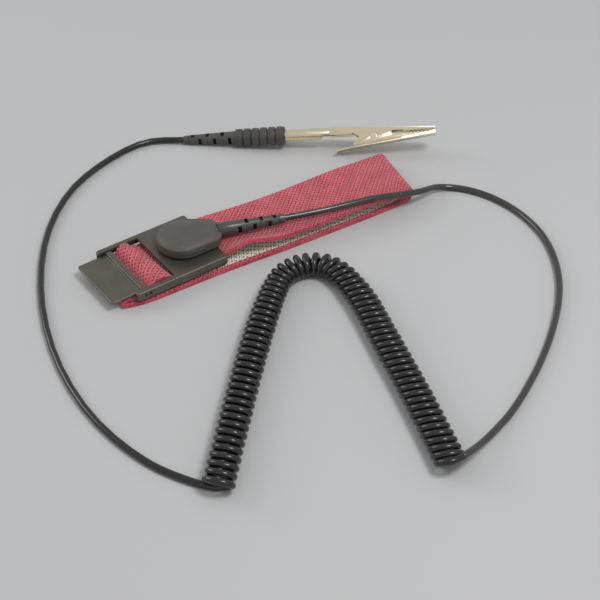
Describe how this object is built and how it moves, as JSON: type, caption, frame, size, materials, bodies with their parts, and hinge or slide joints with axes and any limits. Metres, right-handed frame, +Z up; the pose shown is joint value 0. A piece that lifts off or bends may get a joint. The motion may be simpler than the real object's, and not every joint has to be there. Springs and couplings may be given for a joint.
{
  "type": "esd wrist strap",
  "caption": "Elastic grounding wrist strap with lever buckle, swivelling snap head and curly cord ending in a banana plug that carries a toothed spring clip.",
  "frame": {"origin": "on the surface that the strap lies on, under the buckle plate", "axes": "+X along the strap from the buckle's lever to the far fold, +Y across the strap, +Z up"},
  "size_m": [0.1566, 0.1767, 0.0109],
  "materials": {
    "band_weave": "salmon red elastic twill with dark conductive flecks, cream conductive rib on the skin side",
    "buckle_steel": "dark grey satin plating with bright worn edges",
    "stud_steel": "bright stainless",
    "spring_steel": "bright drawn wire and strip",
    "head_plastic": "fine matt dark grey",
    "relief_plastic": "satin black",
    "grip_plastic": "satin black with moulded rings",
    "cord_jacket": "glossy black",
    "coil_jacket": "glossy black",
    "resistor_body": "tan coating",
    "clip_metal": "pale nickel over brass, bright"
  },
  "bodies": {
    "strap": {"wrist_band": "band_weave", "buckle_frame": "buckle_steel", "cross_bar": "buckle_steel", "contact_plate": "stud_steel", "stud_spacer": "stud_steel", "stud_rivet": "stud_steel", "snap_stud": "stud_steel", "snap_lead": "cord_jacket", "head_lead": "cord_jacket", "coil_cord": "coil_jacket", "plug_lead": "cord_jacket", "plug_relief": "relief_plastic", "plug_grip": "grip_plastic", "plug_pin": "clip_metal", "pin_spring": "spring_steel"},
    "lever": {"clasp_lever": "buckle_steel", "lever_pin": "stud_steel"},
    "socket": {"snap_socket": "stud_steel", "snap_spring": "spring_steel"},
    "head": {"head_base": "head_plastic", "head_cover": "head_plastic", "head_relief": "relief_plastic", "resistor": "resistor_body", "contact_finger": "spring_steel"},
    "clip": {"clip_frame": "clip_metal", "clip_rivet": "clip_metal", "clip_spring": "spring_steel"},
    "jaw": {"clip_jaw": "clip_metal"}
  },
  "joints": [
    {"name": "lever_lift", "type": "hinge", "parent": "strap", "child": "lever", "pos_m": [-0.0181, 0, 0.0035], "axis": [0, 1, 0], "range_deg": [0, 100]},
    {"name": "snap_release", "type": "slide", "parent": "strap", "child": "socket", "axis": [0, 0, 1], "range_m": [0, 0.004], "deforming": ["snap_spring"]},
    {"name": "head_turn", "type": "hinge", "parent": "socket", "child": "head", "pos_m": [0.0015, 0, 0.0065], "axis": [0, 0, 1], "range_deg": [-10, 25]},
    {"name": "clip_pull", "type": "slide", "parent": "strap", "child": "clip", "axis": [0.7785, -0.6215, 0.0872], "range_m": [0, 0.02]},
    {"name": "jaw_open", "type": "hinge", "parent": "clip", "child": "jaw", "pos_m": [0.0822, 0.01087, 0.00586], "axis": [0.4893, 0.5142, -0.7044], "range_deg": [0, 22], "stiffness_Nm_per_rad": 0.02, "springref_deg": -17.19, "deforming": ["clip_spring"]}
  ]
}
